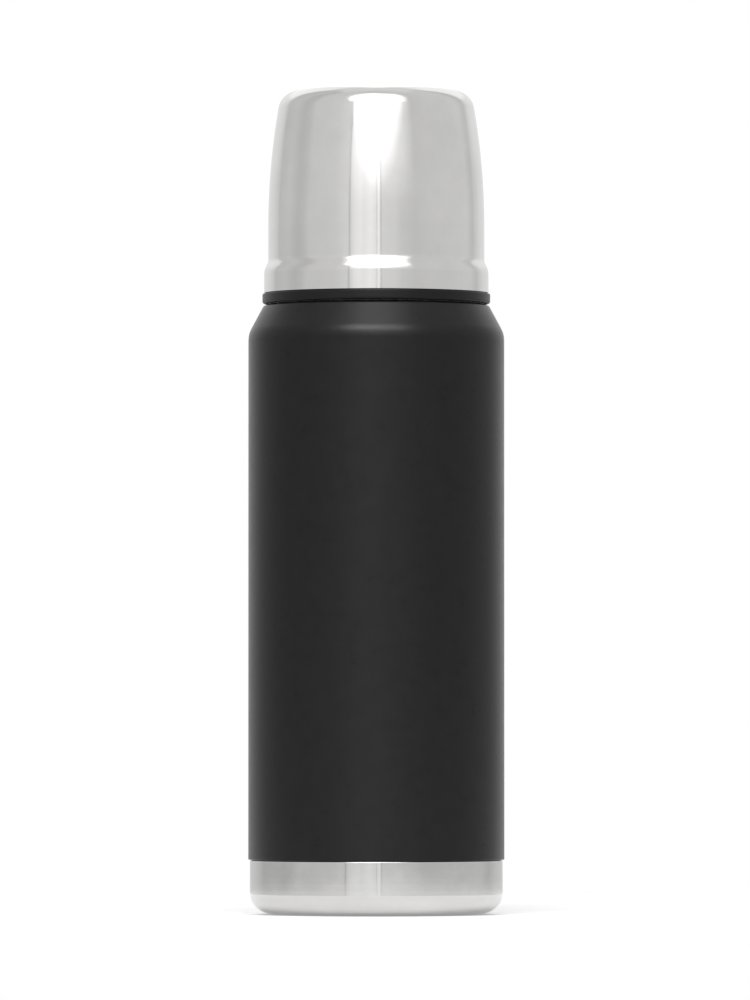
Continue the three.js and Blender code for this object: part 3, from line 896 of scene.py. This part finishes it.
def valve_stem():
    """The rod from the button down, with the collar that the valve disc is clamped against."""
    low = bottom("valve_stem")
    collar_r, collar_low = radius("valve_stem"), DISC_TOP + GAP
    outline = rounded([
        (0, low), (STEM_R, low, 0.4), (STEM_R, collar_low, 0.2), (collar_r, collar_low, 0.2),
        (collar_r, collar_low + 1.3, 0.4), (STEM_R, collar_low + 2.3, 1),
        (STEM_R, BUTTON_UNDERSIDE, 0.4), (0, BUTTON_UNDERSIDE),
    ])
    stands_for(turned("valve_stem", outline, NARROW), "valve_stem")


def valve_disc():
    """The disc on the stem that carries the valve's seal."""
    low, disc_r = bottom("valve_disc"), radius("valve_disc")
    outline = rounded([
        (STEM_BORE_R, low, 0.2), (disc_r - 3.5, low, 0.5), (disc_r, low + 1, 0.3),
        (disc_r, DISC_TOP, 0.3), (STEM_BORE_R, DISC_TOP, 0.2),
    ])
    stands_for(turned("valve_disc", outline, NARROW), "valve_disc")


def valve_nut():
    """A chamfered hexagon nut."""
    low, high = bottom("valve_nut"), top("valve_nut")
    chamfer, countersink = 0.35, 0.3
    half_side = math.pi / 6
    corner_r = radius("valve_nut")
    flat_r = corner_r * math.cos(half_side)

    def hexagon(r, z, angle):
        off = (angle + half_side) % (2 * half_side) - half_side
        side = flat_r / math.cos(off - half_side if off > 0 else off + half_side)
        return min(r, side)

    outline = rounded([
        (STEM_BORE_R + countersink, low), (flat_r, low), (corner_r, low + chamfer),
        (corner_r, high - chamfer), (flat_r, high), (STEM_BORE_R + countersink, high),
        (STEM_BORE_R, high - countersink), (STEM_BORE_R, low + countersink),
    ])
    stands_for(turned("valve_nut", outline, NARROW, hexagon), "valve_nut")


# ------------------------------------------------------------------ the cup
def cup_shell():
    """The drawn shell. Its top is a standing ring round a sunk panel, for when it is used as a cup."""
    wall_curve_low, wall_curve_r = 225.6, 230
    lean = math.radians(9.8)  # of the wall at its top
    lean_z = wall_curve_low + wall_curve_r * math.tan(lean / 2)
    top_r = CUP_R - (CUP_TOP - lean_z) * math.tan(lean)
    panel_r, panel_deep = 22, 1.2
    step_low, step_top = 211.4, 214.2
    curve_steps = 16
    arc = []
    for k in range(curve_steps + 1):
        a = lean * k / curve_steps
        r = CUP_R - wall_curve_r * (1 - math.cos(a))
        arc.append((r, wall_curve_low + wall_curve_r * math.sin(a)))
    face = rounded([
        (SKIRT_R, CUP_LOW),
        (SKIRT_R, step_low, 5),
        (CUP_R, step_top, 3),
        *arc,
        (top_r, CUP_TOP, 7),
        (panel_r, CUP_TOP, 1),
        (panel_r - 1.4, CUP_TOP - panel_deep, 1),
        (0, CUP_TOP - panel_deep),
    ])
    stands_for(turned("cup_shell", sheet(face)), "cup_shell")


def cup_collar():
    """The moulded collar inside the skirt: the black ring, the washer's groove and the cup's thread."""
    groove_r, groove_top = COLLAR_BORE_R + 0.8, RING_LOW + 2.2
    outer_r = SKIRT_R - SHEET - GAP
    ring_top = CUP_LOW - GAP
    outline = rounded([
        (groove_r, RING_LOW, 0.15),
        (RING_R, RING_LOW, 0.9),
        (RING_R, ring_top, 0.35),
        (outer_r, ring_top, 0.1),
        (outer_r, COLLAR_TOP, 0.4),
        (COLLAR_BORE_R, COLLAR_TOP, 0.4),
        (COLLAR_BORE_R, groove_top, 0.1),
        (groove_r, groove_top, 0.1),
    ])
    piece = threaded("cup_collar", outline, CUP_THREAD, COLLAR_BORE_R, groove_top + 1.6, False)
    stands_for(piece, "cup_collar")


# ------------------------------------------------------------------ studio
def camera():
    """Level with the flask's lower third and far off, as a long lens sees it."""
    distance = 3.25
    eye = Vector((0, -distance, 0.0585))
    aim = Vector((-0.00043, 0, 0.13597))
    seen_height = 0.3281  # of the upright plane through the axis, in metres
    data = bpy.data.cameras.new("camera")
    data.sensor_width = 36
    data.lens = data.sensor_width * distance / seen_height
    data.clip_end = 50
    made = bpy.data.objects.new("camera", data)
    made.location = eye
    made.rotation_euler = (aim - eye).to_track_quat("-Z", "Y").to_euler()
    bpy.context.scene.collection.objects.link(made)
    bpy.context.scene.camera = made


def floor():
    """A pale disc, lit a little from below like a light table."""
    bm = bmesh.new()
    bmesh.ops.create_circle(bm, cap_ends=True, segments=NARROW, radius=0.45)
    piece = finished("floor", bm)
    look = Look("floor", Roughness=0.9, Specular_IOR_Level=0.1, Emission_Strength=0.3)
    look.shader.inputs["Emission Color"].default_value = (1, 1, 1, 1)
    look.colours(look.noise(60, 3), (0.44, 0.44, 0.44), (0.48, 0.48, 0.48))
    piece.data.materials.append(look.material)


# The room as (degrees, brightness) stops. Bearing 0 is towards the camera, and 90 is along +X.
WALLS = [
    (-177, 1.35), (-167, 0.92), (-142, 0.95), (-131, 0.86), (-126, 0.74), (-108, 0.8), (-92, 0.71),
    (-84, 0.75), (-76, 0.85), (-45, 0.89), (-30, 1), (5, 0.93), (24, 0.9), (42, 0.82), (58, 0.85),
    (112, 0.88), (124, 0.75), (131, 0.86), (142, 0.95), (167, 0.92), (177, 1.35),
]
# A brighter strip beside the camera, with a dark seam down each side and a few soft streaks.
STRIP = [
    (-31, 1), (-28.7, 0.92), (-28, 0.5), (-27.3, 1.02), (-23, 1.2), (-17, 1.3), (-13, 1.25), (-6, 1.37),
    (-1.5, 1.3), (0, 1.28), (0.6, 0.75), (1.4, 1.45), (3.8, 1.4), (4.6, 0.6), (5.6, 1.08), (19, 1.08),
    (27, 1),
]
WALLS_UP = [(-2, 0.7), (3, 1)]
# What the light throws on the wall round it.
GLOW = [
    (-134, 0.12), (-129, 0), (-28.6, 0), (-27.6, 0.3), (5, 0.3), (28, 0.32), (42, 0), (129, 0),
    (134, 0.12),
]
GLOW_UP = [(6, 0), (14, 0.8), (20, 1), (27, 3), (55, 3), (66, 0)]
CEILING_UP = [(64, 0), (70, 1)]
CEILING = [(-120, 1), (-30, 0.86), (30, 0.86), (120, 1)]
# A round soft light over the camera, by angle from its middle, and the brighter lamp across it.
LIGHT = [(0, 2.4), (20, 2.2), (24, 1), (28, 0.4), (33, 0)]
LAMP = [(-36, 0), (-28, 13), (8, 8.5), (24, 8), (34, 0)]
LAMP_UP = [(31, 0), (36, 1), (45, 1), (50, 0)]
LIGHT_BEARING = math.radians(1)
LIGHT_HEIGHT = math.radians(41)


def by(room, degrees, stops):
    """The brightness that stops give, level beyond both of their ends."""
    low, high = stops[0][0], stops[-1][0]
    share = room.ranged(degrees, 0, 1, low, high)
    return room.ramp(share, [((at - low) / (high - low), (level,) * 3) for at, level in stops])


def world():
    """The room that the steel reflects. The camera itself sees it all white."""
    made = bpy.data.worlds.new("studio")
    bpy.context.scene.world = made
    made.use_nodes = True
    room = Nodes(made.node_tree)
    direction = room.add("ShaderNodeTexCoord").outputs["Generated"]

    def degrees(angle):
        return room.math("MULTIPLY", angle, 360 / TAU)

    x, y, z = room.split(direction)
    bearing = degrees(room.math("ARCTAN2", x, room.math("MULTIPLY", y, -1)))
    height = degrees(room.math("ARCSINE", z))
    towards = room.add("ShaderNodeVectorMath", operation="DOT_PRODUCT")
    room.link(direction, towards.inputs[0])
    towards.inputs[1].default_value = (
        math.sin(LIGHT_BEARING) * math.cos(LIGHT_HEIGHT),
        -math.cos(LIGHT_BEARING) * math.cos(LIGHT_HEIGHT),
        math.sin(LIGHT_HEIGHT),
    )
    light = by(room, degrees(room.math("ARCCOSINE", towards.outputs["Value"])), LIGHT)
    lamp = room.math("MULTIPLY", by(room, bearing, LAMP), by(room, height, LAMP_UP))
    walls = room.math("MULTIPLY", by(room, bearing, WALLS), by(room, height, WALLS_UP))
    glow = room.math("MULTIPLY", by(room, bearing, GLOW), by(room, height, GLOW_UP))

    front = room.math("ADD", room.math("ADD", walls, glow), room.math("ADD", light, lamp))
    overhead = by(room, height, CEILING_UP)
    ceiling = room.math("MULTIPLY", by(room, bearing, CEILING), overhead)
    open_wall = room.math("SUBTRACT", 1, overhead)
    around = room.math("MULTIPLY", room.math("MULTIPLY", front, by(room, bearing, STRIP)), open_wall)
    lit = room.math("ADD", around, ceiling)
    seen = room.add("ShaderNodeLightPath").outputs["Is Camera Ray"]
    whitened = room.math("ADD", lit, room.math("MULTIPLY", seen, room.math("SUBTRACT", 1, lit)))
    background = made.node_tree.nodes["Background"]
    background.inputs["Color"].default_value = (1, 1, 1, 1)
    room.link(whitened, background.inputs["Strength"])


# ------------------------------------------------------------------ building
camera()
floor()
world()
bpy.context.scene.view_settings.view_transform = "Standard"

outer_shell()
base_cup()
outer_bottom()
vacuum_seal()
getter()
getter_clip()
heat_shield()
inner_liner()
liner_bottom()

stopper_housing()
insulation_foam()
ring("foam_cover", FOAM_COVER_BORE_R, 0.3)
stopper_top()
ring("housing_seal", HOUSING_SEAL_BORE_R, 0.3)
ring("stopper_gasket", GASKET_BORE_R, 1)
ring("stem_seal", STEM_BORE_R, 0.4, NARROW)
valve_spring()
push_button()
valve_stem()
valve_disc()
ring("valve_seal", VALVE_SEAL_BORE_R, 0.5, NARROW)
valve_nut()

cup_shell()
cup_collar()
ring("cup_washer", WASHER_BORE_R, 0.4)
